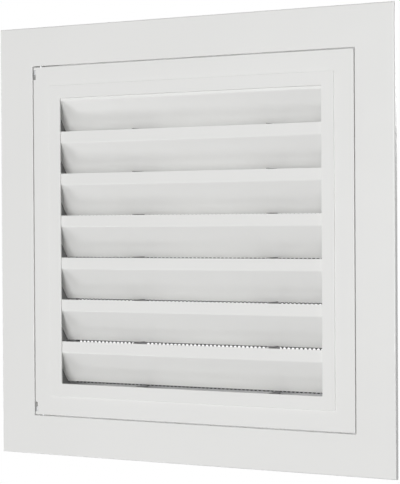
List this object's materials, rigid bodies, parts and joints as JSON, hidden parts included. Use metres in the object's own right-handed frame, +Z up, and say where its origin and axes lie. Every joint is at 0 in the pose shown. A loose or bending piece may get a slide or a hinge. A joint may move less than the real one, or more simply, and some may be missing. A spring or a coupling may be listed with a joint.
{
  "type": "return air grille",
  "caption": "Hinged return air grille: mitred flanged frame, swing-open door with fixed sight-proof blades, sprung hinge pins, magnetic catch and a clip-in net filter.",
  "frame": {"origin": "middle of the grille in the plane of the wall that the flange lies on", "axes": "+X to the right seen from the room, +Y into the wall along the neck, +Z up"},
  "size_m": [0.356, 0.0427, 0.356],
  "materials": {
    "frame_paint": "white powder coat on extruded alloy",
    "door_paint": "white powder coat on extruded alloy",
    "blade_paint": "white powder coat on formed alloy sheet",
    "catch_alloy": "bare extruded angle",
    "key_alloy": "bare cast alloy",
    "comb_sheet": "bare rolled sheet, dull",
    "filter_alloy": "bare alloy channel",
    "net_nylon": "dark nylon net",
    "guide_nylon": "moulded nylon",
    "magnet_ferrite": "sintered ferrite",
    "steel_zinc": "zinc plated"
  },
  "bodies": {
    "frame": {"frame_top": "frame_paint", "frame_bottom": "frame_paint", "frame_left": "frame_paint", "frame_right": "frame_paint", "frame_key_top_left": "key_alloy", "frame_key_top_right": "key_alloy", "frame_key_bottom_left": "key_alloy", "frame_key_bottom_right": "key_alloy", "catch_angle_upper": "catch_alloy", "catch_angle_lower": "catch_alloy", "catch_rivets": "steel_zinc", "magnet_upper": "magnet_ferrite", "magnet_lower": "magnet_ferrite"},
    "door": {"door_top": "door_paint", "door_bottom": "door_paint", "door_left": "door_paint", "door_right": "door_paint", "door_key_top_left": "key_alloy", "door_key_top_right": "key_alloy", "door_key_bottom_left": "key_alloy", "door_key_bottom_right": "key_alloy", "blade_1": "blade_paint", "blade_2": "blade_paint", "blade_3": "blade_paint", "blade_4": "blade_paint", "blade_5": "blade_paint", "blade_6": "blade_paint", "blade_7": "blade_paint", "end_comb_left": "comb_sheet", "end_comb_right": "comb_sheet", "support_comb_left": "comb_sheet", "support_comb_right": "comb_sheet", "door_rivets": "steel_zinc", "keeper_upper": "steel_zinc", "keeper_lower": "steel_zinc", "pin_guide_top": "guide_nylon", "pin_guide_bottom": "guide_nylon", "pin_spring_top": "steel_zinc", "pin_spring_bottom": "steel_zinc", "filter_frame_top": "filter_alloy", "filter_frame_bottom": "filter_alloy", "filter_frame_left": "filter_alloy", "filter_frame_right": "filter_alloy", "filter_net": "net_nylon", "clip_screws": "steel_zinc", "filter_hook_upper": "steel_zinc", "filter_hook_lower": "steel_zinc"},
    "pin_top": {"hinge_pin_top": "steel_zinc"},
    "pin_bottom": {"hinge_pin_bottom": "steel_zinc"},
    "clip_upper": {"filter_clip_upper": "steel_zinc"},
    "clip_lower": {"filter_clip_lower": "steel_zinc"}
  },
  "joints": [
    {"name": "door_swing", "type": "hinge", "parent": "frame", "child": "door", "pos_m": [-0.1389, -0.0008, 0], "axis": [0, 0, -1], "range_deg": [0, 105]},
    {"name": "pin_top_slide", "type": "slide", "parent": "door", "child": "pin_top", "axis": [0, 0, -1], "range_m": [0, 0.004], "stiffness_N_per_m": 300, "springref_m": -0.004, "deforming": ["pin_spring_top"]},
    {"name": "pin_bottom_slide", "type": "slide", "parent": "door", "child": "pin_bottom", "axis": [0, 0, 1], "range_m": [0, 0.004], "stiffness_N_per_m": 300, "springref_m": -0.004, "deforming": ["pin_spring_bottom"]},
    {"name": "clip_upper_turn", "type": "hinge", "parent": "door", "child": "clip_upper", "pos_m": [0.1344, 0.026, 0.078], "axis": [0, 1, 0], "range_deg": [0, 90]},
    {"name": "clip_lower_turn", "type": "hinge", "parent": "door", "child": "clip_lower", "pos_m": [0.1344, 0.026, -0.078], "axis": [0, -1, 0], "range_deg": [0, 90]}
  ]
}
